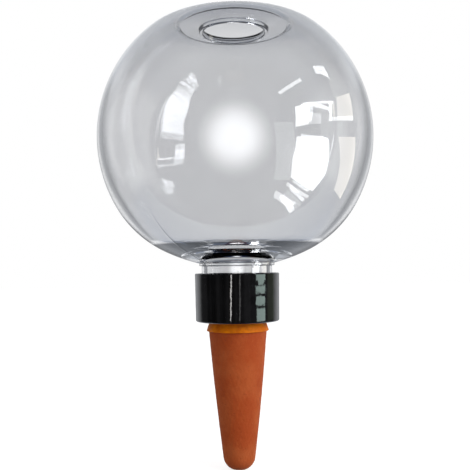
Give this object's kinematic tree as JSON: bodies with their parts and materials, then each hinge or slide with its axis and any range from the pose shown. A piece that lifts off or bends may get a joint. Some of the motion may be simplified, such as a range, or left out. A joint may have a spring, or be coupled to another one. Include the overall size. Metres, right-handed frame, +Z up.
{
  "type": "watering globe",
  "caption": "Clear water globe with a filler hole in its crown, screwed by a black collar onto a hollow clay cone that is pushed into the soil and lets the water seep out.",
  "frame": {"origin": "on the axis, level with the collar's underside, which meets the surface of the soil", "axes": "+Z up along the object's axis, out of the soil; X and Y are free, because the object is turned about Z"},
  "size_m": [0.15, 0.15, 0.244],
  "materials": {
    "clear_plastic": "clear, polished, faintly grey",
    "black_plastic": "glossy moulded black",
    "black_rubber": "matt rubber",
    "orange_rubber": "smooth orange rubber",
    "terracotta": "unglazed porous clay, matt"
  },
  "bodies": {
    "stake": {"clay_cone": "terracotta", "cone_sleeve": "orange_rubber", "neck_washer": "black_rubber"},
    "collar": {"collar": "black_plastic"},
    "globe": {"globe": "clear_plastic"}
  },
  "joints": [
    {"name": "collar_turn", "type": "hinge", "parent": "stake", "child": "collar", "pos_m": [0, 0, 0.013], "axis": [0, 0, -1], "range_deg": [0, 540]},
    {"name": "globe_lift", "type": "slide", "parent": "stake", "child": "globe", "axis": [0, 0, 1], "range_m": [0, 0.0063]}
  ],
  "couplings": [
    {"joint": "collar_turn", "follows": "globe_lift", "rad_per_m": 1496}
  ]
}
